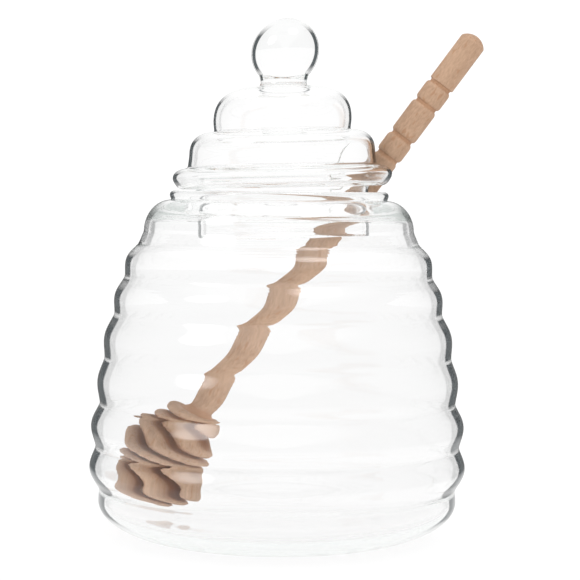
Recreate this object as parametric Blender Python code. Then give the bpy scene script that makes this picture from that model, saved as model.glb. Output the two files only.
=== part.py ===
"""Beehive honey jar of clear glass, with its loose glass lid and a turned beech dipper.

The jar stands on z = 0 with its axis on +Z. The lid lies on the jar's lip, a little askew, and the
dipper leans in the jar: its head sits in the lowest rib's hollow at -X, and its handle passes
through the notch in the lid at +X.
"""
import math

import bmesh
import bpy
from mathutils import Matrix, Vector

MM = 0.001

# Jar: radius and height of each waist between two ribs, from the shoulder down, in millimetres
WAISTS = ((37.5, 78.7), (41.3, 69.6), (44.0, 59.7), (46.6, 47.9), (47.8, 35.8), (48.9, 24.3), (48.0, 12.9))
# How far each rib between two waists stands out from the straight line that joins them
RIB_SWELLS = (1.5, 1.25, 1.3, 1.25, 1.75, 2.1)
RIB_ROUNDNESS = 1.38
WALL = 1.6
# How much lower a waist lies on the inside: the wall's slope carries it down as it crosses the glass
WAIST_DROP = 0.55
FLOOR_THICKNESS = 2.6

SHOULDER_START = (28.9, 90.2)
SHOULDER_CREST = (36.2, 81.8)
BASE_CREST = (48.2, 9.8)
FOOT_RADIUS = 28.2
INNER_SHOULDER_START = (26.0, 86.4)
INNER_SHOULDER_SQUARENESS = 4.0
NECK_INNER_RADIUS = 24.6
NECK_LOW = 87.0
NECK_HIGH = 87.5
LIP_CENTRE = (28.25, 91.5)
LIP_ROUND = 1.1

# Lid, in its own frame: z = 0 is the underside of its flange
LID_HEIGHT = 93.6
LID_SHIFT = 0.9
LID_TILT_DEG = 1.76
KNOB_RADIUS = 9.05
KNOB_HEIGHT = 36.2
KNOB_DRAWN_ASIDE = 1.5
COLLAR_RADIUS = 6.1
COLLAR_FOOT = 27.0
FILLET = 0.5
TOP_TIER = (18.5, 17.6)
TOP_WAIST = (18.2, 16.1)
MIDDLE_TIER_TOP = 15.2
MIDDLE_TIER = (24.9, 9.0)
MIDDLE_WAIST = (25.4, 6.2)
FLANGE_TOP = 5.6
FLANGE_CREST = (29.5, 2.9)
FLANGE_FOOT = (28.4, 0.9)
FLANGE_FLAT_RADIUS = 27.9
TIER_SQUARENESS = 2.6
FLANGE_SQUARENESS = 2.2
LID_WALL = 1.4
FLANGE_THICKNESS = 1.4
FLANGE_HOLLOW_RADIUS = 26.7
SKIRT_RADIUS = 23.0
SKIRT_WALL = 1.4
SKIRT_DEPTH = 13.4

# Notch in the lid: an arch that widens outwards between two radial planes
NOTCH_AZIMUTH_DEG = 26.0
NOTCH_HALF_ANGLE_DEG = 26.0
NOTCH_TOP = 13.2
NOTCH_BELOW = 16.0
NOTCH_NEAR = 12.0
NOTCH_FAR = 34.0

# Dipper: its lowest disc's centre and its top end, in the jar's frame
LOWEST_DISC = (-36.9, 11.0, 11.6)
HANDLE_TOP = (52.9, 3.2, 134.6)
DISC_RADII = (9.65, 11.8, 13.0, 11.8, 9.7, 8.6)
DISC_PITCH = 4.64
# Half of a disc's edge: place from its middle in half pitches, and size in the disc's own radius
DISC_EDGE = ((0.28, 1.0), (0.66, 0.9), (0.86, 0.58))
TIP_LENGTH = 2.7
TIP_FLAT_RADIUS = 4.5
SHAFT_RADIUS = 3.5
SHAFT_FILLET = 1.2
# Handle: its grooves, its beads' start and end below the top, and the domed end piece
GROOVE_RADIUS = 3.1
GROOVE_WIDTH = 1.1
GROOVE_SLOPE = 0.15
HANDLE_BEADS = ((17.0, 22.3), (23.4, 33.1), (34.3, 39.6))
BEAD_END_RADIUS = 3.5
BEAD_RADIUS = 3.75
BEAD_CHAMFER = 0.7
HANDLE_END = (15.9, 3.65)
HANDLE_DOME = 1.9
NECK_BELOW_BEADS = 41.1

JAR_SEGMENTS = 44
LID_SEGMENTS = 36
DIPPER_SEGMENTS = 18
NOTCH_SEGMENTS = 12


def clear_scene():
    for thing in list(bpy.data.objects):
        bpy.data.objects.remove(thing)


def rib(upper, lower, swell, steps):
    """Points of one rib: the straight line between two waists, pushed out by a rounded sine."""
    run = (lower[0] - upper[0], lower[1] - upper[1])
    length = math.hypot(*run)
    outward = (-run[1] / length, run[0] / length)
    points = []
    for step in range(steps):
        share = step / steps
        push = swell * math.sin(math.pi * share) ** RIB_ROUNDNESS
        points.append((upper[0] + run[0] * share + outward[0] * push,
                       upper[1] + run[1] * share + outward[1] * push))
    return points


def quarter(start, end, squareness, steps):
    """Points of a quarter of a squarish ellipse that leaves start level and meets end upright."""
    points = []
    for step in range(steps + 1):
        angle = 0.5 * math.pi * step / steps
        points.append((start[0] + (end[0] - start[0]) * math.sin(angle) ** (2 / squareness),
                       end[1] + (start[1] - end[1]) * max(math.cos(angle), 0.0) ** (2 / squareness)))
    return points


def arc(centre, radius, first_deg, last_deg, steps):
    """Points of a round arc in the profile's plane."""
    points = []
    for step in range(steps + 1):
        angle = math.radians(first_deg + (last_deg - first_deg) * step / steps)
        points.append((centre[0] + radius * math.cos(angle), centre[1] + radius * math.sin(angle)))
    return points


def jar_profile():
    """The jar's section, from the foot's centre up the outside, over the lip and down the inside."""
    outside = quarter(SHOULDER_START, SHOULDER_CREST, 2.0, 5)
    for number, swell in enumerate(RIB_SWELLS):
        outside += rib(WAISTS[number], WAISTS[number + 1], swell, 5)
    outside.append(WAISTS[-1])
    outside += quarter((FOOT_RADIUS, 0.0), BASE_CREST, 2.0, 6)[::-1]
    outside.append((0.0, 0.0))

    inner_waists = []
    for (radius, height), (lower_radius, lower_height) in zip(WAISTS, WAISTS[1:]):
        slope = (lower_radius - radius) / (height - lower_height)
        inner_waists.append((radius + slope * WAIST_DROP - WALL, height - WAIST_DROP))
    inner_waists.append((WAISTS[-1][0] - WALL, WAISTS[-1][1] - WAIST_DROP))
    inside = [(NECK_INNER_RADIUS, NECK_HIGH), (NECK_INNER_RADIUS, NECK_LOW)]
    inside += quarter(INNER_SHOULDER_START, (SHOULDER_CREST[0] - WALL, SHOULDER_CREST[1]),
                      INNER_SHOULDER_SQUARENESS, 4)
    for number, swell in enumerate(RIB_SWELLS):
        inside += rib(inner_waists[number], inner_waists[number + 1], swell, 4)
    inside.append(inner_waists[-1])
    inside += quarter((FOOT_RADIUS - WALL, FLOOR_THICKNESS),
                      (BASE_CREST[0] - WALL, BASE_CREST[1]), 2.0, 5)[::-1]
    inside.append((0.0, FLOOR_THICKNESS))
    return outside[::-1] + arc(LIP_CENTRE, LIP_ROUND, -20, 150, 6) + inside


def lid_profile():
    """The lid's section, from the knob's top down the outside, round the skirt and up the inside."""
    collar_meets_knob = -math.degrees(math.acos((COLLAR_RADIUS + FILLET) / KNOB_RADIUS))
    points = arc((0.0, KNOB_HEIGHT), KNOB_RADIUS, 90, collar_meets_knob, 10)
    points[0] = (0.0, KNOB_HEIGHT + KNOB_RADIUS)
    points.append((COLLAR_RADIUS, COLLAR_FOOT + 2 * FILLET))
    points += quarter((COLLAR_RADIUS + FILLET, COLLAR_FOOT), TOP_TIER, TIER_SQUARENESS, 5)
    points.append(TOP_WAIST)
    points += quarter((TOP_WAIST[0] + FILLET, MIDDLE_TIER_TOP), MIDDLE_TIER, TIER_SQUARENESS, 5)
    points.append(MIDDLE_WAIST)
    points += quarter((MIDDLE_WAIST[0] + FILLET, FLANGE_TOP), FLANGE_CREST, FLANGE_SQUARENESS, 4)
    points += [FLANGE_FOOT, (FLANGE_FLAT_RADIUS, 0.0), (SKIRT_RADIUS, 0.0)]
    skirt_middle = SKIRT_RADIUS - 0.5 * SKIRT_WALL
    points += arc((skirt_middle, 0.5 * SKIRT_WALL - SKIRT_DEPTH), 0.5 * SKIRT_WALL, 0, -180, 4)
    points += [(SKIRT_RADIUS - SKIRT_WALL, FLANGE_THICKNESS), (FLANGE_HOLLOW_RADIUS, FLANGE_THICKNESS)]
    points += [(FLANGE_CREST[0] - LID_WALL, FLANGE_CREST[1]),
               (MIDDLE_WAIST[0] - LID_WALL, FLANGE_TOP - 0.5 * LID_WALL)]
    points += quarter((TOP_WAIST[0] - LID_WALL + FILLET, MIDDLE_TIER_TOP - LID_WALL),
                      (MIDDLE_TIER[0] - LID_WALL, MIDDLE_TIER[1]), TIER_SQUARENESS, 3)[::-1]
    points.append((TOP_WAIST[0] - LID_WALL, TOP_WAIST[1]))
    points += quarter((0.0, COLLAR_FOOT - LID_WALL), (TOP_TIER[0] - LID_WALL, TOP_TIER[1]),
                      TIER_SQUARENESS, 5)[::-1]
    return points


def groove(top):
    """The flat floor of a groove that ends at the height top."""
    return [(GROOVE_RADIUS, top - GROOVE_WIDTH + GROOVE_SLOPE), (GROOVE_RADIUS, top - GROOVE_SLOPE)]


def dipper_profile():
    """The dipper's section, from its tip at z = 0 up over the discs, the shaft and the beads."""
    length = (Vector(HANDLE_TOP) - Vector(LOWEST_DISC)).length + TIP_LENGTH
    points = [(0.0, 0.0), (TIP_FLAT_RADIUS, 0.0)]
    half = 0.5 * DISC_PITCH
    for number, radius in enumerate(DISC_RADII):
        middle = TIP_LENGTH + DISC_PITCH * number
        points += [(size * radius, middle - place * half) for place, size in DISC_EDGE[::-1]]
        points += [(size * radius, middle + place * half) for place, size in DISC_EDGE]
    head_top = TIP_LENGTH + DISC_PITCH * (len(DISC_RADII) - 0.5)
    points.append((SHAFT_RADIUS, head_top + SHAFT_FILLET))
    points.append((SHAFT_RADIUS, length - NECK_BELOW_BEADS))
    for start, end in HANDLE_BEADS[::-1]:
        points += groove(length - end)
        points += [(BEAD_END_RADIUS, length - end), (BEAD_RADIUS, length - end + BEAD_CHAMFER),
                   (BEAD_RADIUS, length - start - BEAD_CHAMFER), (BEAD_END_RADIUS, length - start)]
    below, radius = HANDLE_END
    points += groove(length - below)
    points.append((radius, length - below))
    dome_radius = (radius ** 2 + HANDLE_DOME ** 2) / (2 * HANDLE_DOME)
    rim_deg = math.degrees(math.acos(radius / dome_radius))
    points += arc((0.0, length - dome_radius), dome_radius, rim_deg, 90, 3)
    points[-1] = (0.0, length)
    return points


def turned(name, profile, segments):
    """A closed body of revolution about Z from a profile in millimetres that starts and ends on Z."""
    shape = bmesh.new()
    corners = [shape.verts.new((radius * MM, 0.0, height * MM)) for radius, height in profile]
    edges = [shape.edges.new(pair) for pair in zip(corners, corners[1:])]
    bmesh.ops.spin(shape, geom=corners + edges, axis=(0, 0, 1), cent=(0, 0, 0), steps=segments,
                   angle=2 * math.pi, use_merge=True, use_duplicate=False)
    bmesh.ops.remove_doubles(shape, verts=shape.verts, dist=0.00001)
    bmesh.ops.dissolve_degenerate(shape, edges=shape.edges, dist=0.00001)
    bmesh.ops.recalc_face_normals(shape, faces=shape.faces)
    mesh = bpy.data.meshes.new(name)
    shape.to_mesh(mesh)
    shape.free()
    mesh.shade_smooth()
    mesh.set_sharp_from_angle(angle=math.radians(40))
    body = bpy.data.objects.new(name, mesh)
    bpy.context.collection.objects.link(body)
    return body


def material(name, colour, roughness, transmission=0.0):
    finish = bpy.data.materials.new(name)
    finish.use_nodes = True
    shader = finish.node_tree.nodes["Principled BSDF"]
    shader.inputs["Base Color"].default_value = (*colour, 1.0)
    shader.inputs["Roughness"].default_value = roughness
    shader.inputs["Metallic"].default_value = 0.0
    shader.inputs["Transmission Weight"].default_value = transmission
    return finish


def make_jar():
    jar = turned("jar", jar_profile(), JAR_SEGMENTS)
    jar.data.materials.append(material("jar glass", (0.93, 0.96, 0.95), 0.02, 1.0))
    return jar


def draw_knob_aside(mesh):
    """Leans the soft glass: a point moves along X by the square of its height over the flange."""
    for corner in mesh.vertices:
        share = max(corner.co.z, 0.0) / (KNOB_HEIGHT * MM)
        corner.co.x += KNOB_DRAWN_ASIDE * MM * share ** 2


def notch_cutter(lid):
    """A wedge between two radial planes with an arched roof, in the lid's frame."""
    spread = math.tan(math.radians(NOTCH_HALF_ANGLE_DEG))
    shape = bmesh.new()
    ends = []
    for reach in (NOTCH_NEAR, NOTCH_FAR):
        half = reach * spread
        ring = [(-half, -NOTCH_BELOW)]
        for step in range(NOTCH_SEGMENTS + 1):
            angle = math.pi * (1 - step / NOTCH_SEGMENTS)
            ring.append((half * math.cos(angle), NOTCH_TOP * math.sin(angle)))
        ring.append((half, -NOTCH_BELOW))
        ends.append([shape.verts.new((reach * MM, side * MM, height * MM)) for side, height in ring])
    near, far = ends
    shape.faces.new(near)
    shape.faces.new(far[::-1])
    for number in range(len(near)):
        after = (number + 1) % len(near)
        shape.faces.new((near[number], far[number], far[after], near[after]))
    bmesh.ops.recalc_face_normals(shape, faces=shape.faces)
    mesh = bpy.data.meshes.new("notch cutter")
    shape.to_mesh(mesh)
    shape.free()
    cutter = bpy.data.objects.new("notch_cutter", mesh)
    bpy.context.collection.objects.link(cutter)
    cutter.parent = lid
    cutter.rotation_euler = (0.0, 0.0, math.radians(NOTCH_AZIMUTH_DEG))
    cutter.hide_render = True
    cutter.display_type = "WIRE"
    return cutter


def make_lid():
    lid = turned("lid", lid_profile(), LID_SEGMENTS)
    draw_knob_aside(lid.data)
    lid.location = (LID_SHIFT * MM, 0.0, LID_HEIGHT * MM)
    lid.rotation_euler = (0.0, -math.radians(LID_TILT_DEG), 0.0)
    lid.data.materials.append(material("lid glass", (0.94, 0.96, 0.95), 0.02, 1.0))
    notch = lid.modifiers.new("notch", "BOOLEAN")
    notch.operation = "DIFFERENCE"
    notch.object = notch_cutter(lid)
    return lid


def make_dipper():
    dipper = turned("dipper", dipper_profile(), DIPPER_SEGMENTS)
    along = (Vector(HANDLE_TOP) - Vector(LOWEST_DISC)).normalized()
    tip = (Vector(LOWEST_DISC) - along * TIP_LENGTH) * MM
    dipper.matrix_world = Matrix.Translation(tip) @ along.to_track_quat("Z", "Y").to_matrix().to_4x4()
    dipper.data.materials.append(material("beech", (0.53, 0.34, 0.22), 0.6))
    return dipper


def main():
    clear_scene()
    make_jar()
    make_lid()
    make_dipper()


main()
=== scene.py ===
"""Beehive honey jar of clear glass, its glass lid and a turned beech dipper, in a plain studio.

The jar is empty. The lid lies on its lip, and the dipper leans in it and out through the lid's notch.
All three pieces are surfaces worked out on a grid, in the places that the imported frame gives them.
"""
import math

import bmesh
import bpy
import numpy as np
from mathutils import Matrix, Vector


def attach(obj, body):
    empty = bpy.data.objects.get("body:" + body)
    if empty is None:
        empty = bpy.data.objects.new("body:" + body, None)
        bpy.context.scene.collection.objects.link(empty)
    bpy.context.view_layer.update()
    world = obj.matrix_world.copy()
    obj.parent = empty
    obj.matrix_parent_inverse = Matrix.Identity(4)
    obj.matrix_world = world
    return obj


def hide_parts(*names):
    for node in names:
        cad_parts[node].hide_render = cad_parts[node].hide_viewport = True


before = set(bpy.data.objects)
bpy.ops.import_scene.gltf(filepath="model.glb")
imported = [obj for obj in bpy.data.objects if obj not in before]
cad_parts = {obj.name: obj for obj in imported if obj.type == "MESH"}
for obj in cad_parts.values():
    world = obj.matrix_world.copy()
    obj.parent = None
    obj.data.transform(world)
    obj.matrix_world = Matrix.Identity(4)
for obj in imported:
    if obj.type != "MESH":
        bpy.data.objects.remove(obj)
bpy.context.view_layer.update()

bl_info = {
    "name": "Beehive Honey Jar",
    "version": (1, 0, 0),
    "blender": (4, 5, 0),
    "location": "3D View > Sidebar > Honey Jar",
    "description": "Builds a glass beehive jar, its lid and a turned dipper, in a plain studio",
    "category": "Add Mesh",
}

MM = 0.001
# Points closer than the first are merged, and edges shorter than the second are dropped, in metres
MERGE_DISTANCE = 2e-6
SLIVER = 1e-7
# Profiles are drawn at this step before their corners are rounded, in millimetres
FINE_STEP = 0.05
# Squareness of a true quarter of an ellipse
ROUND = 2.0
# Sizes from here on are in millimetres. Each piece has the reach of its softened corners, the rows and
# columns of its grid, and the length of profile that draws as many rows as one radian of bend

# Jar: radius and height of each waist between two ribs, from the shoulder down
WAISTS = ((37.5, 78.7), (41.3, 69.6), (44.0, 59.7), (46.6, 47.9), (47.8, 35.8), (48.9, 24.3), (48.0, 12.9))
RIB_SWELLS = (1.5, 1.25, 1.3, 1.25, 1.75, 2.1)
RIB_ROUNDNESS = 1.38
SHOULDER_START = (28.9, 90.2)
SHOULDER_CREST = (36.2, 81.8)
BASE_CREST = (48.2, 9.8)
FOOT_RADIUS = 28.2
INNER_SHOULDER_START = (26.0, 86.4)
INNER_SHOULDER_SQUARENESS = 4.0
NECK_INNER_RADIUS = 24.6
NECK_LOW = 87.0
NECK_HIGH = 87.5
LIP_CENTRE = (28.25, 91.5)
LIP_ROUND = 1.1
# The lip's round runs from its top to these angles, outside and inside
LIP_ENDS_DEG = (-20, 150)
OUTSIDE_SOFTNESS = 0.2
INSIDE_SOFTNESS = 0.45
JAR_GRID = (360, 264)
JAR_BEND = 4.0

# Lid, in its own frame: z = 0 is the underside of its flange
LID_HEIGHT = 93.6
LID_SHIFT = 0.9
LID_TILT_DEG = 1.76
KNOB_RADIUS = 9.05
KNOB_HEIGHT = 36.2
KNOB_DRAWN_ASIDE = 1.5
COLLAR_RADIUS = 6.1
COLLAR_FOOT = 27.0
FILLET = 0.5
TOP_TIER = (18.5, 17.6)
TOP_WAIST = (18.2, 16.1)
MIDDLE_TIER_TOP = 15.2
MIDDLE_TIER = (24.9, 9.0)
MIDDLE_WAIST = (25.4, 6.2)
FLANGE_TOP = 5.6
FLANGE_CREST = (29.5, 2.9)
FLANGE_FOOT = (28.4, 0.9)
# Lift of the middle line at the flange's foot, as a share of half the wall
FLANGE_FOOT_LIFT = 0.3
TIER_SQUARENESS = 2.6
FLANGE_SQUARENESS = 2.2
SKIRT_RADIUS = 23.0
SKIRT_DEPTH = 13.4
NOTCH_AZIMUTH_DEG = 26.0
NOTCH_HALF_ANGLE_DEG = 26.0
NOTCH_TOP = 13.2
NOTCH_WIDTH = math.tan(math.radians(NOTCH_HALF_ANGLE_DEG))
# Past this angle from the notch's middle, in radians, its edge counts as far away
FAR_FROM_NOTCH = 1.4
# Rows crowd round the notch's top, by how much and over what length, and columns at its sides
NOTCH_CROWD = 5.0
NOTCH_CROWD_LENGTH = 0.8
NOTCH_COLUMN_WIDTH = 0.12
LID_SOFTNESS = 0.45
KNOB_SOFTNESS = 0.25
WALL_ROWS = 170
KNOB_ROWS = 90
CEILING_ROWS = 14
LID_HALF_COLUMNS = 111
LID_BEND = 3.0

# Dipper: its lowest disc's centre and its top end, in the jar's frame
LOWEST_DISC = (-36.9, 11.0, 11.6)
HANDLE_TOP = (52.9, 3.2, 134.6)
DISC_RADII = (9.65, 11.8, 13.0, 11.8, 9.7, 8.6)
DISC_PITCH = 4.64
DISC_EDGE = ((0.28, 1.0), (0.66, 0.9), (0.86, 0.58))
TIP_LENGTH = 2.7
TIP_FLAT_RADIUS = 4.5
SHAFT_RADIUS = 3.5
SHAFT_FILLET = 1.2
# The head's softer outline goes over into the shaft's at this height over the head
SHAFT_START = 6.0
HEAD_SOFTNESS = 0.4
HANDLE_SOFTNESS = 0.13
DIPPER_GRID = (620, 96)
DIPPER_BEND = 0.8
# Handle: its grooves, its beads' start and end below the top, and the domed end piece
GROOVE_RADIUS = 3.1
GROOVE_WIDTH = 1.1
GROOVE_SLOPE = 0.15
HANDLE_BEADS = ((17.0, 22.3), (23.4, 33.1), (34.3, 39.6))
BEAD_END_RADIUS = 3.5
BEAD_RADIUS = 3.75
BEAD_CHAMFER = 0.7
HANDLE_END = (15.9, 3.65)
HANDLE_DOME = 1.9
NECK_BELOW_BEADS = 41.1
# Wood is darkened, partly as burnish and partly as painted shade, where it lies this far below the
# outline's average over this length
HOLLOW_DEPTH = 0.6
HOLLOW_LENGTH = 4.6

# Camera: side of the picture in pixels, and width of the sensor
IMAGE_SIDE = 580
SENSOR_WIDTH = 36.0

# Strength of the painted dark edge, a painted reflection of dark cards, where glass turns from the eye, on
# its outer and on its inner skin
OUTER_PAINTED_EDGE = 1.0
INNER_PAINTED_EDGE = 0.45
# The same for the outer and inner skin of the shoulder
SHOULDER_PAINTED_EDGES = (0.75, 0.9)
# The jar's painted dark edge is left off up to the first of these distances from a waist, and full from the
# second
WAIST_CLEAR = (0.15, 0.4)
# The painted dark edge starts where one less the cosine passes these, on a thin wall and in the solid knob
WALL_EDGE = 0.72
KNOB_EDGE = 0.5
# Width of the painted dark band and of its two blurred borders, in the same measure
EDGE_WIDTH = 0.24
EDGE_BLUR = 0.03
# The painted band fades as the surface lies flatter, between these heights of its normal
EDGE_FLATNESS = (0.45, 0.8)
# Blown glass waves gently: waves to a metre, and their height in metres
RIPPLES_PER_METRE = 45.0
RIPPLE_HEIGHT = 0.2 * MM

# Beech: how far its speckle is drawn out along the grain, its slow drifts to a metre and their share
GRAIN_SQUEEZE = 0.35
DRIFTS_PER_METRE = 220.0
DRIFT_SHARE = 0.45
# Noise values at which the wood is fully dark and fully pale, and between which a fleck comes in
WOOD_TONES = (0.3, 0.62)
FLECK_TONES = (0.64, 0.74)
# Flecks to a fibre's width, and how strong flecks and the darkened hollows, partly burnish and partly
# painted shade, are
FLECKS_PER_FIBRE = 0.6
FLECK_STRENGTH = 0.4
HOLLOW_BURNISH_AND_SHADE = 0.55
FIBRE_HEIGHT = 0.1 * MM

# The floor lies this far under the foot, so that the two flat faces don't coincide
FLOOR_GAP = 0.1
# Glass mirrors the table's glow only near the jar: it starts to fade and ends at these metres from it
TABLE_NEAR = 0.08
TABLE_FAR = 0.2
# Towards the two round lamps, upper left and upper right, and the cosines at their soft rims
LAMPS = ((-0.69, -0.42, 0.59), (0.28, -0.3, 0.91))
LAMP_COSINES = (0.96, 0.998)
# The mirrored room brightens between these sines of the slope, and between these heights
BRIGHT_SLOPES = (0.6, 0.9)
BRIGHT_HEIGHTS = (0.03, 0.15)
# Light that the glass floor guides along itself needs many bounces to come out again
GLASS_BOUNCES = 128


class GlassSettings(bpy.types.PropertyGroup):
    """Sizes and colours of the jar's and the lid's glass."""
    jar_wall: bpy.props.FloatProperty(
        name="Jar wall", description="Thickness of the jar's wall at its waists", default=1.6 * MM,
        unit="LENGTH")
    jar_floor: bpy.props.FloatProperty(
        name="Jar floor", description="Thickness of the jar's floor", default=2.6 * MM, unit="LENGTH")
    waist_drop: bpy.props.FloatProperty(
        name="Waist drop", description="How much lower a waist lies on the inside than outside",
        default=0.55 * MM, unit="LENGTH")
    lid_wall: bpy.props.FloatProperty(
        name="Lid wall", description="Thickness of the lid's wall", default=1.4 * MM, unit="LENGTH")
    index: bpy.props.FloatProperty(
        name="Refractive index", description="Refractive index of the glass", default=1.474)
    colour: bpy.props.StringProperty(
        name="Glass colour", description="Tint of thick glass, as an sRGB hex value", default="e3e9e6")
    # Colour painted where upright glass is seen edge on: a painted reflection of dark cards, not a tint of
    # the glass
    painted_edge_colour: bpy.props.StringProperty(
        name="Edge colour", description="Tint of glass seen edge on, as an sRGB hex value",
        default="1c2123")
    depth: bpy.props.FloatProperty(
        name="Depth of colour", description="How fast the tint grows with the glass's thickness",
        default=4.0)


class DipperSettings(bpy.types.PropertyGroup):
    """Colours of the dipper's beech."""
    pale: bpy.props.StringProperty(
        name="Pale beech", description="Colour of early wood, as an sRGB hex value", default="cfab8e")
    dark: bpy.props.StringProperty(
        name="Dark beech", description="Colour of late wood, as an sRGB hex value", default="b08c71")
    # Colour of flecks, also laid in grooves and between discs as partly burnish and partly painted shade
    burnish_fleck_and_shade: bpy.props.StringProperty(
        name="Burnished beech", default="b47c50",
        description="Colour of flecks, in grooves and between discs, as an sRGB hex value")
    fibre: bpy.props.FloatProperty(
        name="Fibre width", description="Width of one short fibre", default=0.45 * MM, unit="LENGTH")


class StudioSettings(bpy.types.PropertyGroup):
    """The studio's floor, light and camera."""
    floor_side: bpy.props.FloatProperty(
        name="Floor side", description="Length of each side of the floor", default=60.0, unit="LENGTH")
    floor_colour: bpy.props.StringProperty(
        name="Floor colour", description="Colour of the floor, as an sRGB hex value", default="747474")
    table_light: bpy.props.FloatProperty(
        name="Table light", description="Brightness of the white light table", default=0.88)
    table_through: bpy.props.FloatProperty(
        name="Table through glass", description="Brightness of the table as seen through glass",
        default=0.8)
    table_fill: bpy.props.FloatProperty(
        name="Table inside glass", description="Brightness of the table's light on wood inside the glass",
        default=1.5)
    backdrop_light: bpy.props.FloatProperty(
        name="Backdrop light", description="Brightness of the backdrop to the bare eye", default=1.1)
    through_light: bpy.props.FloatProperty(
        name="Backdrop through glass", description="Brightness of the backdrop as seen through glass",
        default=1.05)
    fill_light: bpy.props.FloatProperty(
        name="Fill light", description="Brightness of the light on bare wood and floor", default=1.08)
    inner_fill: bpy.props.FloatProperty(
        name="Fill inside glass", description="Brightness of the light on wood inside the glass",
        default=1.1)
    lamp_light: bpy.props.FloatProperty(
        name="Reflected lamps", description="Brightness of the two round lamps that glass mirrors",
        default=7.0)
    mirror_light: bpy.props.FloatProperty(
        name="Reflected room", description="Brightness of the room's walls that glass mirrors",
        default=0.12)
    ceiling_light: bpy.props.FloatProperty(
        name="Reflected ceiling", description="Brightness of the lamps overhead that glass mirrors",
        default=1.0)
    distance: bpy.props.FloatProperty(
        name="Camera distance", description="From the jar's axis to the camera", default=0.488,
        unit="LENGTH")
    height: bpy.props.FloatProperty(
        name="Camera height", description="Height of the camera over the foot", default=0.093,
        unit="LENGTH")
    focal_pixels: bpy.props.FloatProperty(
        name="Focal length", description="Focal length in pixels of the frame", default=1815.0)
    pitch_deg: bpy.props.FloatProperty(
        name="Pitch", description="How far the camera looks down, in degrees", default=3.154)
    yaw_deg: bpy.props.FloatProperty(
        name="Yaw", description="How far the camera looks to the right, in degrees", default=0.363)
    roll_deg: bpy.props.FloatProperty(
        name="Roll", description="How far the camera leans, in degrees", default=0.46)


def linear(code):
    """An sRGB hex colour as linear RGB and full opacity."""
    parts = np.array([int(code[start:start + 2], 16) for start in (0, 2, 4)]) / 255
    return (*np.where(parts <= 0.04045, parts / 12.92, ((parts + 0.055) / 1.055) ** 2.4), 1.0)


def add_node(tree, kind, settings=None, inputs=None):
    """Adds one node, with its properties, and its inputs as values or as links from other sockets."""
    made = tree.nodes.new(kind)
    for name, value in (settings or {}).items():
        setattr(made, name, value)
    for name, value in (inputs or {}).items():
        if isinstance(value, bpy.types.NodeSocket):
            tree.links.new(value, made.inputs[name])
        else:
            made.inputs[name].default_value = value
    return made


def calculate(tree, operation, first, second=0.0):
    """The result of one arithmetic step, with sockets or numbers in it."""
    return add_node(tree, "ShaderNodeMath", {"operation": operation}, {0: first, 1: second}).outputs[0]


def fade(tree, value, start, end, before=0.0, after=1.0):
    """Goes smoothly from one level to another while a value goes from start to end."""
    made = add_node(tree, "ShaderNodeMapRange", {"interpolation_type": "SMOOTHSTEP"}, {
        "Value": value, "From Min": start, "From Max": end, "To Min": before, "To Max": after})
    return made.outputs["Result"]


def blend(tree, factor, first, second):
    """The first of two brightnesses where the factor is 0, and the second where it is 1."""
    made = add_node(tree, "ShaderNodeMix", {"data_type": "FLOAT"}, {
        "Factor": factor, "A": first, "B": second})
    return made.outputs["Result"]


def bounced(tree, kind):
    """Is 1 for light that has met a surface of the given kind on its way, and 0 for all other."""
    path = add_node(tree, "ShaderNodeLightPath")
    return calculate(tree, "GREATER_THAN", path.outputs[kind + " Depth"], 0.5)


def first_mirrored(tree):
    """Is 1 for light that the eye sees mirrored by an outer skin, and 0 for all other."""
    return calculate(tree, "GREATER_THAN", bounced(tree, "Glossy"), bounced(tree, "Transmission"))


def spread_inside(tree):
    """Is 1 for the light that reaches matt wood inside the glass, and 0 for all other."""
    return calculate(tree, "MULTIPLY", bounced(tree, "Diffuse"), bounced(tree, "Transmission"))


def new_material(name):
    """A material with an empty tree of nodes, and that tree."""
    material = bpy.data.materials.new(name)
    material.use_nodes = True
    material.node_tree.nodes.clear()
    return material, material.node_tree


# Profiles: arrays of radius and height, in millimetres

def quarter(start, end, squareness, count=40):
    """A quarter of a squarish ellipse: sine and cosine of an angle, each to the power 2 / squareness."""
    angle = np.linspace(0, 0.5 * np.pi, count)
    across = np.sin(angle) ** (2 / squareness)
    down = np.maximum(np.cos(angle), 0) ** (2 / squareness)
    return np.stack((start[0] + (end[0] - start[0]) * across, end[1] + (start[1] - end[1]) * down), 1)


def arc(centre, radius, first_deg, last_deg, count=40):
    """A round arc: centre plus radius times cosine and sine."""
    angle = np.radians(np.linspace(first_deg, last_deg, count))
    return np.stack((centre[0] + radius * np.cos(angle), centre[1] + radius * np.sin(angle)), 1)


def ribs(waists, swells, roundness, count=40):
    """Ribs between waists: each straight line, pushed out by its swell times a sine to a power."""
    waists = np.array(waists, float)
    share = np.linspace(0, 1, count, endpoint=False)[:, None]
    pieces = []
    for upper, lower, swell in zip(waists, waists[1:], swells):
        run = lower - upper
        outward = np.array((-run[1], run[0])) / np.hypot(*run)
        pieces.append(upper + run * share + outward * swell * np.sin(np.pi * share) ** roundness)
    return np.concatenate(pieces + [waists[-1:]])


def lengths(profile):
    """Distance along a profile at each of its points."""
    return np.concatenate(([0.0], np.cumsum(np.hypot(*np.diff(profile, axis=0).T))))


def even(profile, spacing):
    """The profile at equal distances along it."""
    along = lengths(profile)
    keep = np.concatenate(([True], np.diff(along) > 1e-9))
    places = np.linspace(0, along[-1], int(along[-1] / spacing) + 1)
    return np.stack([np.interp(places, along[keep], profile[keep, axis]) for axis in (0, 1)], 1)


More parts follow.
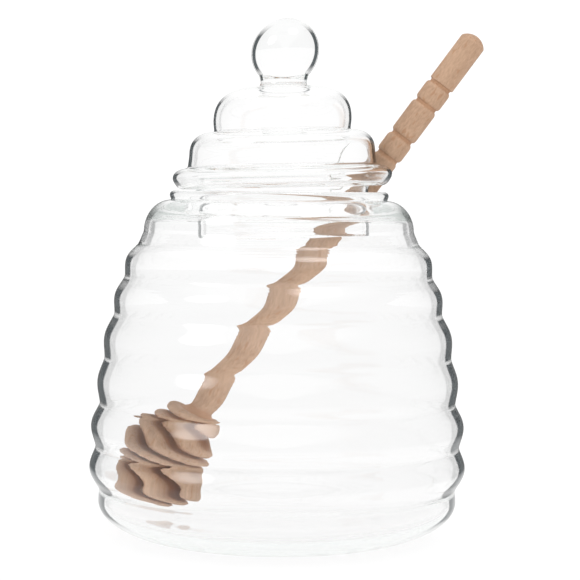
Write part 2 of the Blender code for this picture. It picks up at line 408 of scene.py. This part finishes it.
def soften(profile, radius):
    """Rounds every corner: a bell-shaped average along the profile, mirrored past both of its ends."""
    fine = even(profile, FINE_STEP)
    reach = int(4 * radius / FINE_STEP)
    bell = np.exp(-0.5 * (np.arange(-reach, reach + 1) * FINE_STEP / radius) ** 2)
    bell /= bell.sum()
    before = 2 * fine[0] - fine[reach:0:-1]
    after = 2 * fine[-1] - fine[-2:-reach - 2:-1]
    long = np.concatenate((before, fine, after))
    return np.stack([np.convolve(long[:, axis], bell, "valid") for axis in (0, 1)], 1)


def normals(profile):
    """Unit normals of a profile, to the left of its direction."""
    step = np.gradient(profile, axis=0)
    step /= np.hypot(*step.T)[:, None]
    return np.stack((-step[:, 1], step[:, 0]), 1)


def pace(profile, bend_weight, extra=None):
    """A running measure of length plus bend_weight times the angle turned through, and extra per point."""
    step = np.diff(profile, axis=0)
    angle = np.unwrap(np.arctan2(step[:, 1], step[:, 0]))
    bend = np.abs(np.diff(angle, prepend=angle[0]))
    measure = np.hypot(*step.T) + bend_weight * bend
    if extra is not None:
        measure = measure + 0.5 * (extra[1:] + extra[:-1]) * np.hypot(*step.T)
    return np.concatenate(([0.0], np.cumsum(measure)))


def pick(measure, count):
    """Places, as shares between a profile's points, at equal steps of a measure."""
    return np.interp(np.linspace(0, measure[-1], count), measure, np.arange(len(measure)))


def at(values, places):
    """A profile's columns read between its points."""
    values = np.asarray(values, float)
    index = np.arange(len(values))
    if values.ndim == 1:
        return np.interp(places, index, values)
    return np.stack([np.interp(places, index, values[:, axis]) for axis in range(values.shape[1])], 1)


def full_turn(count):
    """Azimuths at equal steps, once round."""
    return np.linspace(0, 2 * np.pi, count, endpoint=False)


def spin(radius, height, azimuth):
    """Points on a surface of revolution: radius times cosine and sine of the azimuth, and the height."""
    radius, height = np.broadcast_arrays(np.atleast_2d(radius.T).T, np.atleast_2d(height.T).T)
    radius, height, azimuth = np.broadcast_arrays(radius, height, azimuth)
    return np.stack((radius * np.cos(azimuth), radius * np.sin(azimuth), height), -1)


def surface(name, grid, wrap, **row_values):
    """A closed mesh of quads over a grid of points in millimetres; seams and poles are merged.

    Each of row_values is one number per row, kept as an attribute of the mesh's points.
    """
    rows, columns = grid.shape[:2]
    index = np.arange(rows * columns).reshape(rows, columns)
    if wrap:
        index = np.concatenate((index, index[:, :1]), 1)
    quads = np.stack((index[:-1, :-1], index[:-1, 1:], index[1:, 1:], index[1:, :-1]), -1).reshape(-1, 4)
    mesh = bpy.data.meshes.new(name)
    mesh.vertices.add(rows * columns)
    mesh.vertices.foreach_set("co", (grid * MM).astype(np.float32).ravel())
    mesh.loops.add(quads.size)
    mesh.loops.foreach_set("vertex_index", quads.astype(np.int32).ravel())
    mesh.polygons.add(len(quads))
    mesh.polygons.foreach_set("loop_start", np.arange(0, quads.size, 4, dtype=np.int32))
    mesh.update(calc_edges=True)
    for title, values in row_values.items():
        values = np.repeat(values, columns).astype(np.float32)
        mesh.attributes.new(title, "FLOAT", "POINT").data.foreach_set("value", values)
    shape = bmesh.new()
    shape.from_mesh(mesh)
    bmesh.ops.remove_doubles(shape, verts=shape.verts, dist=MERGE_DISTANCE)
    bmesh.ops.dissolve_degenerate(shape, edges=shape.edges, dist=SLIVER)
    bmesh.ops.recalc_face_normals(shape, faces=shape.faces)
    open_edges = sum(len(edge.link_faces) != 2 for edge in shape.edges)
    shape.to_mesh(mesh)
    shape.free()
    if open_edges:
        raise RuntimeError(f"{name} has {open_edges} edges without two faces")
    mesh.shade_smooth()
    body = bpy.data.objects.new(name, mesh)
    bpy.context.scene.collection.objects.link(body)
    return body


def settle(piece, node, material):
    """Gives a piece its material and its body, and hides the CAD node that it stands for."""
    piece.data.materials.append(material)
    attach(piece, "root")
    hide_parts(node)


def clear_glass(name, settings):
    """Borosilicate glass, fire-polished: colourless, gently waved, and grey-green where it is thick.

    Its upright edges are painted dark by the angle of view: a painted reflection of the black cards beside
    a white backdrop, which real glass shows there.
    """
    material, tree = new_material(name)
    coordinates = add_node(tree, "ShaderNodeTexCoord")
    ripple = add_node(tree, "ShaderNodeTexNoise", inputs={
        "Vector": coordinates.outputs["Object"], "Scale": RIPPLES_PER_METRE, "Detail": 2.0,
        "Roughness": 0.4})
    bump = add_node(tree, "ShaderNodeBump", inputs={
        "Height": ripple.outputs["Fac"], "Strength": 0.25, "Distance": RIPPLE_HEIGHT})
    slant = add_node(tree, "ShaderNodeLayerWeight", inputs={"Blend": 0.5})
    start = add_node(tree, "ShaderNodeAttribute", {"attribute_name": "edge"})
    past = calculate(tree, "SUBTRACT", slant.outputs["Facing"], start.outputs["Fac"])
    begun = fade(tree, past, 0.0, EDGE_BLUR)
    ended = fade(tree, past, EDGE_WIDTH, EDGE_WIDTH + EDGE_BLUR, 1.0, 0.0)
    geometry = add_node(tree, "ShaderNodeNewGeometry")
    normal = add_node(tree, "ShaderNodeSeparateXYZ", inputs={"Vector": geometry.outputs["Normal"]})
    flatness = calculate(tree, "ABSOLUTE", normal.outputs["Z"])
    upright = fade(tree, flatness, *EDGE_FLATNESS, 1.0, 0.0)
    from_air = calculate(tree, "SUBTRACT", 1.0, geometry.outputs["Backfacing"])
    skin = add_node(tree, "ShaderNodeAttribute", {"attribute_name": "skin"})
    edge = calculate(tree, "MULTIPLY", begun, ended)
    for limit in (upright, from_air, skin.outputs["Fac"]):
        edge = calculate(tree, "MULTIPLY", edge, limit)
    # Painted dark reflection: the base colour goes to the edge colour where an upright outer or inner skin
    # is seen edge on
    tint = add_node(tree, "ShaderNodeMix", {"data_type": "RGBA"}, {
        "Factor": edge, "A": (1.0, 1.0, 1.0, 1.0), "B": linear(settings.painted_edge_colour)})
    shader = add_node(tree, "ShaderNodeBsdfPrincipled", inputs={
        "Base Color": tint.outputs["Result"], "Roughness": 0.0, "IOR": settings.index,
        "Transmission Weight": 1.0, "Normal": bump.outputs["Normal"]})
    depth = add_node(tree, "ShaderNodeVolumeAbsorption", inputs={
        "Color": linear(settings.colour), "Density": settings.depth})
    add_node(tree, "ShaderNodeOutputMaterial", inputs={
        "Surface": shader.outputs["BSDF"], "Volume": depth.outputs["Volume"]})
    return material


def turned_beech(settings, placing):
    """Steamed beech, turned and fine-sanded: warm brown with a fine speckle, slow drifts and short flecks.

    Grooves and the gaps between discs are a deeper brown: partly burnish from the lathe's tool, partly
    painted shade.
    """
    material, tree = new_material("turned beech")
    coordinates = add_node(tree, "ShaderNodeTexCoord")
    back = placing.inverted()
    local = add_node(tree, "ShaderNodeMapping", {"vector_type": "POINT"}, {
        "Vector": coordinates.outputs["Object"], "Rotation": back.to_euler(),
        "Location": back.to_translation()})
    grain = add_node(tree, "ShaderNodeMapping", {"vector_type": "POINT"}, {
        "Vector": local.outputs["Vector"], "Scale": (1.0, 1.0, GRAIN_SQUEEZE)}).outputs["Vector"]
    speckle = add_node(tree, "ShaderNodeTexNoise", inputs={
        "Vector": grain, "Scale": 1 / settings.fibre, "Detail": 2.0, "Roughness": 0.65})
    drift = add_node(tree, "ShaderNodeTexNoise", inputs={
        "Vector": grain, "Scale": DRIFTS_PER_METRE, "Detail": 2.0, "Roughness": 0.5})
    tone = blend(tree, DRIFT_SHARE, speckle.outputs["Fac"], drift.outputs["Fac"])
    ramp = add_node(tree, "ShaderNodeValToRGB", inputs={"Fac": tone})
    for stop, position, code in zip(ramp.color_ramp.elements, WOOD_TONES, (settings.dark, settings.pale)):
        stop.position = position
        stop.color = linear(code)
    rays = add_node(tree, "ShaderNodeTexNoise", inputs={
        "Vector": grain, "Scale": FLECKS_PER_FIBRE / settings.fibre, "Detail": 0.0})
    flecks = fade(tree, rays.outputs["Fac"], *FLECK_TONES, 0.0, FLECK_STRENGTH)
    # Grooves and gaps between discs darkened: partly burnish, partly painted shade
    hollow = add_node(tree, "ShaderNodeAttribute", {"attribute_name": "hollow"})
    deep = calculate(tree, "MULTIPLY", hollow.outputs["Fac"], HOLLOW_BURNISH_AND_SHADE)
    darker = calculate(tree, "MAXIMUM", deep, flecks)
    colour = add_node(tree, "ShaderNodeMix", {"data_type": "RGBA"}, {
        "Factor": darker, "A": ramp.outputs["Color"], "B": linear(settings.burnish_fleck_and_shade)})
    bump = add_node(tree, "ShaderNodeBump", inputs={
        "Height": speckle.outputs["Fac"], "Strength": 0.3, "Distance": FIBRE_HEIGHT})
    shader = add_node(tree, "ShaderNodeBsdfPrincipled", inputs={
        "Base Color": colour.outputs["Result"], "Roughness": 0.6, "IOR": 1.45,
        "Normal": bump.outputs["Normal"]})
    add_node(tree, "ShaderNodeOutputMaterial", inputs={"Surface": shader.outputs["BSDF"]})
    return material


def acrylic_table(settings):
    """White acrylic sheet lit from below: evenly pale, but glass mirrors only the part near the jar."""
    material, tree = new_material("white acrylic sheet")
    place = add_node(tree, "ShaderNodeTexCoord")
    from_jar = add_node(tree, "ShaderNodeVectorMath", {"operation": "LENGTH"}, {
        0: place.outputs["Object"]}).outputs["Value"]
    unlit = calculate(tree, "MULTIPLY", first_mirrored(tree), fade(tree, from_jar, TABLE_NEAR, TABLE_FAR))
    path = add_node(tree, "ShaderNodeLightPath")
    lit = blend(tree, path.outputs["Is Camera Ray"], settings.table_through, settings.table_light)
    lit = blend(tree, spread_inside(tree), lit, settings.table_fill)
    shader = add_node(tree, "ShaderNodeBsdfPrincipled", inputs={
        "Base Color": linear(settings.floor_colour), "Roughness": 0.8, "Specular IOR Level": 0.0,
        "Emission Color": (1.0, 1.0, 1.0, 1.0), "Emission Strength": blend(tree, unlit, lit, 0.0)})
    add_node(tree, "ShaderNodeOutputMaterial", inputs={"Surface": shader.outputs["BSDF"]})
    return material


def mirrored_room(tree, direction, settings):
    """Brightness of what glass mirrors: a dim room, bright high up and low down, with two soft round lamps.

    A direction counts as high or low by its height, and by the sine of its slope seen from the front.
    """
    parts = add_node(tree, "ShaderNodeSeparateXYZ", inputs={"Vector": direction})
    height = calculate(tree, "ABSOLUTE", parts.outputs["Z"])
    squares = [calculate(tree, "POWER", parts.outputs[axis], 2.0) for axis in "XZ"]
    from_front = calculate(tree, "SQRT", calculate(tree, "ADD", *squares))
    slope = calculate(tree, "DIVIDE", height, from_front)
    steep = fade(tree, slope, *BRIGHT_SLOPES)
    high = calculate(tree, "MULTIPLY", steep, fade(tree, height, *BRIGHT_HEIGHTS))
    room = blend(tree, high, settings.mirror_light, settings.ceiling_light)
    for centre in LAMPS:
        towards = add_node(tree, "ShaderNodeVectorMath", {"operation": "DOT_PRODUCT"}, {
            0: direction, 1: Vector(centre).normalized()}).outputs["Value"]
        lamp = fade(tree, towards, *LAMP_COSINES, 0.0, settings.lamp_light)
        room = calculate(tree, "ADD", room, lamp)
    return room


class HONEYJAR_OT_jar(bpy.types.Operator):
    """Spins the jar's ribbed glass body from its outer and inner profile"""
    bl_idname = "honeyjar.jar"
    bl_label = "Blow the jar"

    def execute(self, context):
        settings = context.scene.honey_glass
        wall = settings.jar_wall / MM
        outside = soften(np.concatenate((
            arc(LIP_CENTRE, LIP_ROUND, 90, LIP_ENDS_DEG[0]),
            quarter(SHOULDER_START, SHOULDER_CREST, ROUND),
            ribs(WAISTS, RIB_SWELLS, RIB_ROUNDNESS),
            quarter((FOOT_RADIUS, 0.0), BASE_CREST, ROUND)[::-1],
            ((0.0, 0.0),))), OUTSIDE_SOFTNESS)
        inner_waists = self.inner_waists(wall, settings.waist_drop / MM)
        floor = settings.jar_floor / MM
        inside = soften(np.concatenate((
            arc(LIP_CENTRE, LIP_ROUND, 90, LIP_ENDS_DEG[1]),
            ((NECK_INNER_RADIUS, NECK_HIGH), (NECK_INNER_RADIUS, NECK_LOW)),
            quarter(INNER_SHOULDER_START, (SHOULDER_CREST[0] - wall, SHOULDER_CREST[1]),
                    INNER_SHOULDER_SQUARENESS),
            ribs(inner_waists, RIB_SWELLS, RIB_ROUNDNESS),
            quarter((FOOT_RADIUS - wall, floor), (BASE_CREST[0] - wall, BASE_CREST[1]), ROUND)[::-1],
            ((0.0, floor),))), INSIDE_SOFTNESS)
        path = np.concatenate((outside[::-1], inside[1:]))
        path[[0, -1], 0] = 0.0
        over_ribs = inside[:, 1] > inner_waists[0, 1]
        # Strength of the painted dark edge on each row
        painted_edge_inside = np.where(over_ribs, SHOULDER_PAINTED_EDGES[1], INNER_PAINTED_EDGE)
        skin = np.concatenate((self.painted_edge_outside(outside)[::-1], painted_edge_inside[1:]))
        places = pick(pace(path, JAR_BEND), JAR_GRID[0])
        path = at(path, places)
        jar = surface("beehive_jar", spin(path[:, 0], path[:, 1], full_turn(JAR_GRID[1])), wrap=True,
                      skin=at(skin, places), edge=np.full(len(path), WALL_EDGE))
        settle(jar, "jar", clear_glass("blown borosilicate glass", settings))
        return {"FINISHED"}

    def inner_waists(self, wall, drop):
        """The waists, lowered by the drop and set a wall's thickness behind the line through them."""
        radius, height = np.array(WAISTS).T
        lowered = height - drop
        return np.stack((np.interp(lowered, height[::-1], radius[::-1]) - wall, lowered), 1)

    def painted_edge_outside(self, outside):
        """How dark the painted edge gets at each point: less on the shoulder, and not at all at the waists.
        """
        from_waist = np.hypot(*(outside[:, None] - np.array(WAISTS)).transpose(2, 0, 1)).min(axis=1)
        start, end = WAIST_CLEAR
        over_ribs = outside[:, 1] > WAISTS[0][1]
        under_lip = outside[:, 0] > SHOULDER_START[0] + LIP_ROUND
        strength = np.where(over_ribs & under_lip, SHOULDER_PAINTED_EDGES[0], OUTER_PAINTED_EDGE)
        return strength * np.clip((from_waist - start) / (end - start), 0, 1)


class HONEYJAR_OT_lid(bpy.types.Operator):
    """Makes the lid: a solid knob over a wall that follows a middle line, with an arched notch in it"""
    bl_idname = "honeyjar.lid"
    bl_label = "Press the lid"

    def execute(self, context):
        settings = context.scene.honey_glass
        half = 0.5 * settings.lid_wall / MM
        line = self.middle_line(half)
        rows = self.rows(line)
        middle = at(line, rows)
        side = at(normals(line), rows)
        columns = self.columns()
        rise = np.clip(middle[:, 1:], 0, NOTCH_TOP) / NOTCH_TOP
        opening = np.arctan(NOTCH_WIDTH * np.sqrt(1 - rise ** 2))
        turn = opening + columns * (2 * np.pi - 2 * opening)

        # The wall thins to nothing at the notch's edge and at the skirt's rim, as a half round
        along = lengths(middle)
        from_rim = (along[-1] - along)[:, None]
        nearest = np.clip(np.minimum(self.from_notch(middle, side, turn), from_rim) / half, 0, 1)
        thickness = half * np.sqrt(1 - (1 - nearest) ** 2)
        azimuth = math.radians(NOTCH_AZIMUTH_DEG) + turn
        outer, inner = (
            spin(middle[:, :1] + side[:, :1] * across, middle[:, 1:] + side[:, 1:] * across, azimuth)
            for across in (thickness, -thickness))

        knob = self.knob()
        ceiling = np.stack((np.linspace(0, COLLAR_RADIUS + FILLET, CEILING_ROWS),
                            np.full(CEILING_ROWS, COLLAR_FOOT - 2 * half)), 1)[:-1]
        plain = math.radians(NOTCH_AZIMUTH_DEG) + columns * 2 * np.pi
        grid = np.concatenate((spin(knob[:, 0], knob[:, 1], plain), outer, inner[::-1],
                               spin(ceiling[::-1, 0], ceiling[::-1, 1], plain)))
        grid[..., 0] += KNOB_DRAWN_ASIDE * (np.maximum(grid[..., 2], 0) / KNOB_HEIGHT) ** 2
        tilt = np.array(Matrix.Rotation(-math.radians(LID_TILT_DEG), 3, "Y"))
        grid = grid @ tilt.T + (LID_SHIFT, 0.0, LID_HEIGHT)

        counts = (len(knob), len(outer), len(inner) + len(ceiling))
        # Strength of the painted dark edge on each row: knob, outside, then inside
        skin = np.repeat((OUTER_PAINTED_EDGE, OUTER_PAINTED_EDGE, INNER_PAINTED_EDGE), counts)
        # The knob's collar has no painted dark edge
        skin[:len(knob)] *= knob[:, 1] > COLLAR_FOOT + 3 * FILLET
        lid = surface("stepped_lid", grid, wrap=False, skin=skin,
                      edge=np.repeat((KNOB_EDGE, WALL_EDGE, WALL_EDGE), counts))
        settle(lid, "lid", clear_glass("pressed borosilicate glass", settings))
        return {"FINISHED"}

    def middle_line(self, half):
        """The line halfway through the wall: two square-shouldered tiers, the flange and the skirt."""
        return soften(np.concatenate((
            quarter((COLLAR_RADIUS + FILLET, COLLAR_FOOT - half), (TOP_TIER[0] - half, TOP_TIER[1]),
                    TIER_SQUARENESS),
            ((TOP_WAIST[0] - half, TOP_WAIST[1] - half),),
            quarter((TOP_WAIST[0] + FILLET - half, MIDDLE_TIER_TOP - half),
                    (MIDDLE_TIER[0] - half, MIDDLE_TIER[1]), TIER_SQUARENESS),
            ((MIDDLE_WAIST[0] - half, MIDDLE_WAIST[1] - half),),
            quarter((MIDDLE_WAIST[0] + FILLET, FLANGE_TOP - half),
                    (FLANGE_CREST[0] - half, FLANGE_CREST[1]), FLANGE_SQUARENESS),
            ((FLANGE_FOOT[0] - half, FLANGE_FOOT[1] + FLANGE_FOOT_LIFT * half),
             (FLANGE_FOOT[0] - 2 * half, half),
             (SKIRT_RADIUS, half),
             (SKIRT_RADIUS - half, -half),
             (SKIRT_RADIUS - half, -SKIRT_DEPTH)))), LID_SOFTNESS)

    def rows(self, line):
        """Places of the wall's rows: crowded by a bell curve round the notch's top, with one just there."""
        along = lengths(line)
        apex = np.argmin(np.abs(line[:, 1] - NOTCH_TOP))
        crowd = NOTCH_CROWD * np.exp(-0.5 * ((along - along[apex]) / NOTCH_CROWD_LENGTH) ** 2)
        rows = pick(pace(line, LID_BEND, crowd), WALL_ROWS)
        crossing = apex + (line[apex, 1] - NOTCH_TOP) / (line[apex, 1] - line[apex + 1, 1])
        rows[np.argmin(np.abs(rows - crossing))] = crossing
        return rows

    def columns(self):
        """Shares of the way round from one side of the notch to the other: a parabola, mirrored halfway."""
        share = np.linspace(0, 1, LID_HALF_COLUMNS)
        share = NOTCH_COLUMN_WIDTH * share + (1 - NOTCH_COLUMN_WIDTH) * share ** 2
        return 0.5 * np.concatenate((share, 2 - share[-2::-1]))

    def from_notch(self, middle, side, turn):
        """Distance from the notch's edge: the equation of its elliptic arch over its gradient's length."""
        height = np.maximum(middle[:, 1:], 0) / NOTCH_TOP
        tangent = np.tan(np.minimum(np.minimum(turn, 2 * np.pi - turn), FAR_FROM_NOTCH))
        equation = (tangent / NOTCH_WIDTH) ** 2 + height ** 2 - 1
        round_rate = 2 * tangent / NOTCH_WIDTH ** 2 * (1 + tangent ** 2) / middle[:, :1]
        height_rate = 2 * height / NOTCH_TOP * np.abs(side[:, :1])
        return equation / np.hypot(round_rate, height_rate).clip(1e-6)

    def knob(self):
        """Profile of the ball and its collar: an arc down to the collar, and the collar's slope."""
        meets_collar = -math.degrees(math.acos((COLLAR_RADIUS + FILLET) / KNOB_RADIUS))
        profile = soften(np.concatenate((
            arc((0.0, KNOB_HEIGHT), KNOB_RADIUS, 90, meets_collar),
            ((COLLAR_RADIUS, COLLAR_FOOT + 2 * FILLET),
             (COLLAR_RADIUS + FILLET, COLLAR_FOOT)))), KNOB_SOFTNESS)
        profile[0, 0] = 0.0
        return at(profile, pick(pace(profile, LID_BEND), KNOB_ROWS))[:-1]


class HONEYJAR_OT_dipper(bpy.types.Operator):
    """Turns the dipper from one profile: tip, six discs, shaft and beaded handle"""
    bl_idname = "honeyjar.dipper"
    bl_label = "Turn the dipper"

    def execute(self, context):
        low = Vector(LOWEST_DISC)
        top = Vector(HANDLE_TOP)
        axis = (top - low).normalized()
        path = self.profile((top - low).length + TIP_LENGTH)
        turned = axis.to_track_quat("Z", "Y").to_matrix().to_4x4()
        placing = Matrix.Translation(low - axis * TIP_LENGTH) @ turned
        grid = spin(path[:, 0], path[:, 1], full_turn(DIPPER_GRID[1]))
        grid = grid @ np.array(placing.to_3x3()).T + np.array(placing.translation)
        # The hollow attribute darkens grooves and gaps between discs: partly burnish, partly painted shade
        dipper = surface("turned_dipper", grid, wrap=True, hollow=self.hollow(path))
        placing.translation *= MM
        settle(dipper, "dipper", turned_beech(context.scene.honey_dipper, placing))
        return {"FINISHED"}

    def profile(self, length):
        """The whole outline, from the tip up: softened corner points, and an arc for the handle's end."""
        outline = [(0.0, 0.0), (TIP_FLAT_RADIUS, 0.0)]
        for number, radius in enumerate(DISC_RADII):
            centre = TIP_LENGTH + DISC_PITCH * number
            edge = [(size * radius, 0.5 * place * DISC_PITCH) for place, size in DISC_EDGE]
            outline += [(size, centre - place) for size, place in edge[::-1]]
            outline += [(size, centre + place) for size, place in edge]
        head_top = TIP_LENGTH + DISC_PITCH * (len(DISC_RADII) - 0.5)
        shaft_start = (SHAFT_RADIUS, head_top + SHAFT_START)
        head = soften(np.array(outline + [(SHAFT_RADIUS, head_top + SHAFT_FILLET), shaft_start]),
                      HEAD_SOFTNESS)
        outline = [shaft_start, (SHAFT_RADIUS, length - NECK_BELOW_BEADS)]
        for start, end in HANDLE_BEADS[::-1]:
            outline += self.groove(length - end)
            outline += [(BEAD_END_RADIUS, length - end), (BEAD_RADIUS, length - end + BEAD_CHAMFER),
                        (BEAD_RADIUS, length - start - BEAD_CHAMFER), (BEAD_END_RADIUS, length - start)]
        below, radius = HANDLE_END
        outline += self.groove(length - below)
        outline.append((radius, length - below))
        dome_radius = (radius ** 2 + HANDLE_DOME ** 2) / (2 * HANDLE_DOME)
        dome = arc((0.0, length - dome_radius), dome_radius,
                   math.degrees(math.acos(radius / dome_radius)), 90)
        handle = soften(np.concatenate((outline, dome)), HANDLE_SOFTNESS)
        path = np.concatenate((head, handle[1:]))
        path[[0, -1], 0] = 0.0
        return at(path, pick(pace(path, DIPPER_BEND), DIPPER_GRID[0]))

    def groove(self, top):
        """The flat floor of a groove that ends at the height top."""
        return [(GROOVE_RADIUS, top - GROOVE_WIDTH + GROOVE_SLOPE), (GROOVE_RADIUS, top - GROOVE_SLOPE)]

    def hollow(self, path):
        """How hollow each row is: a running average of the radius less the radius, from 0 to 1."""
        heights = np.arange(-HOLLOW_LENGTH, path[-1, 1] + HOLLOW_LENGTH, FINE_STEP)
        radius = np.interp(heights, path[:, 1], path[:, 0])
        window = np.ones(int(HOLLOW_LENGTH / FINE_STEP))
        average = np.convolve(radius, window / window.sum(), "same")
        return np.clip((np.interp(path[:, 1], heights, average) - path[:, 0]) / HOLLOW_DEPTH, 0, 1)


class HONEYJAR_OT_stage(bpy.types.Operator):
    """Sets a plain white floor, soft light from all round and the camera"""
    bl_idname = "honeyjar.stage"
    bl_label = "Set the studio"

    def execute(self, context):
        settings = context.scene.honey_studio
        self.floor(settings)
        self.light(context.scene, settings)
        self.camera(context.scene, settings)
        return {"FINISHED"}

    def floor(self, settings):
        """One level square under the jar."""
        side = 0.5 * settings.floor_side
        low = -FLOOR_GAP * MM
        mesh = bpy.data.meshes.new("studio_floor")
        mesh.from_pydata([(-side, -side, low), (side, -side, low), (side, side, low), (-side, side, low)],
                         [], [(0, 1, 2, 3)])
        mesh.materials.append(acrylic_table(settings))
        floor = bpy.data.objects.new("studio_floor", mesh)
        bpy.context.scene.collection.objects.link(floor)

    def light(self, scene, settings):
        """The backdrop is white to the eye, and glass mirrors a dim room, as in a bright-field studio."""
        world = bpy.data.worlds.new("bright studio")
        scene.world = world
        world.use_nodes = True
        world.cycles.sampling_method = "NONE"
        tree = world.node_tree
        tree.nodes.clear()
        direction = add_node(tree, "ShaderNodeTexCoord").outputs["Generated"]
        room = mirrored_room(tree, direction, settings)
        path = add_node(tree, "ShaderNodeLightPath")
        seen = blend(tree, path.outputs["Is Camera Ray"], settings.through_light, settings.backdrop_light)
        seen = blend(tree, first_mirrored(tree), seen, room)
        fill = blend(tree, spread_inside(tree), settings.fill_light, settings.inner_fill)
        light = blend(tree, bounced(tree, "Diffuse"), seen, fill)
        backdrop = add_node(tree, "ShaderNodeBackground", inputs={
            "Color": (1.0, 1.0, 1.0, 1.0), "Strength": light})
        add_node(tree, "ShaderNodeOutputWorld", inputs={"Surface": backdrop.outputs["Background"]})
        scene.view_settings.view_transform = "Standard"
        scene.view_settings.look = "None"
        scene.cycles.max_bounces = GLASS_BOUNCES
        scene.cycles.transmission_bounces = GLASS_BOUNCES
        scene.cycles.glossy_bounces = GLASS_BOUNCES

    def camera(self, scene, settings):
        """The camera in front of the jar, turned by its yaw, its pitch and its roll in that order."""
        data = bpy.data.cameras.new("product camera")
        data.sensor_width = SENSOR_WIDTH
        data.lens = settings.focal_pixels / IMAGE_SIDE * SENSOR_WIDTH
        data.clip_start = 0.01
        data.clip_end = 200.0
        camera = bpy.data.objects.new("product_camera", data)
        scene.collection.objects.link(camera)
        camera.matrix_world = (
            Matrix.Translation((0.0, -settings.distance, settings.height))
            @ Matrix.Rotation(-math.radians(settings.yaw_deg), 4, "Z")
            @ Matrix.Rotation(math.radians(90 - settings.pitch_deg), 4, "X")
            @ Matrix.Rotation(math.radians(settings.roll_deg), 4, "Z"))
        scene.camera = camera


class HONEYJAR_PT_sidebar(bpy.types.Panel):
    """Lists the pieces and their sizes and colours."""
    bl_idname = "HONEYJAR_PT_sidebar"
    bl_label = "Honey Jar"
    bl_space_type = "VIEW_3D"
    bl_region_type = "UI"
    bl_category = "Honey Jar"

    def draw(self, context):
        layout = self.layout
        scene = context.scene
        for heading, group, operators in (
                ("Glass", scene.honey_glass, ("honeyjar.jar", "honeyjar.lid")),
                ("Dipper", scene.honey_dipper, ("honeyjar.dipper",)),
                ("Studio", scene.honey_studio, ("honeyjar.stage",))):
            box = layout.box()
            box.label(text=heading)
            for name in group.bl_rna.properties.keys():
                if name not in ("rna_type", "name"):
                    box.prop(group, name)
            for operator in operators:
                box.operator(operator)


CLASSES = (GlassSettings, DipperSettings, StudioSettings, HONEYJAR_OT_jar, HONEYJAR_OT_lid,
           HONEYJAR_OT_dipper, HONEYJAR_OT_stage, HONEYJAR_PT_sidebar)


def register():
    for each in CLASSES:
        bpy.utils.register_class(each)
    bpy.types.Scene.honey_glass = bpy.props.PointerProperty(type=GlassSettings)
    bpy.types.Scene.honey_dipper = bpy.props.PointerProperty(type=DipperSettings)
    bpy.types.Scene.honey_studio = bpy.props.PointerProperty(type=StudioSettings)


def unregister():
    for name in ("honey_glass", "honey_dipper", "honey_studio"):
        delattr(bpy.types.Scene, name)
    for each in reversed(CLASSES):
        bpy.utils.unregister_class(each)


def main():
    register()
    bpy.ops.honeyjar.stage()
    bpy.ops.honeyjar.jar()
    bpy.ops.honeyjar.lid()
    bpy.ops.honeyjar.dipper()


if __name__ == "__main__":
    main()
